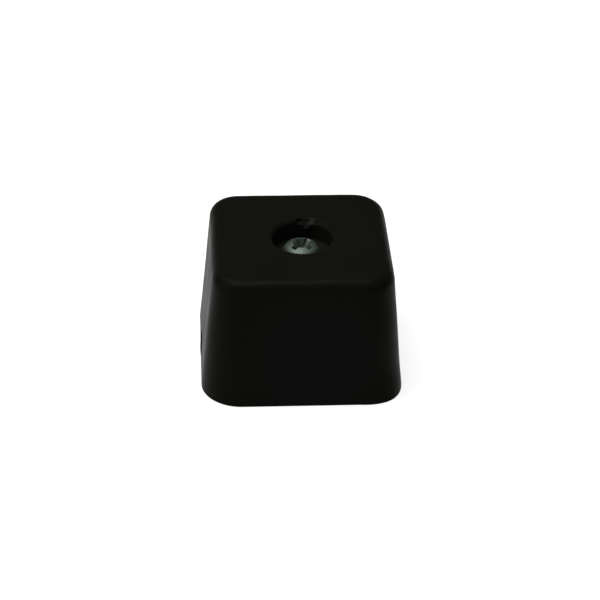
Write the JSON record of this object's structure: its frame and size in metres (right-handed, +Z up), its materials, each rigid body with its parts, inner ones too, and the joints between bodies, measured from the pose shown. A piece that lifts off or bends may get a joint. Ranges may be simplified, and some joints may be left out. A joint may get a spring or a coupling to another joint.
{
  "type": "rubber foot",
  "caption": "Square tapered rubber foot with a round recess in its small end and the pan head screw that fastens it.",
  "frame": {"origin": "centre of the base, on the surface that the foot stands on", "axes": "+Z up along the screw, from the base to the small end; the front face looks along -Y and +X is to its right"},
  "size_m": [0.04, 0.04, 0.027],
  "materials": {
    "black_rubber": "moulded matt black rubber, a little glossier at its rounded edges",
    "zinc_plated_steel": "bright zinc plating with a faint blue tint"
  },
  "bodies": {
    "root": {"rubber_foot": "black_rubber", "mounting_screw": "zinc_plated_steel"}
  },
  "joints": []
}
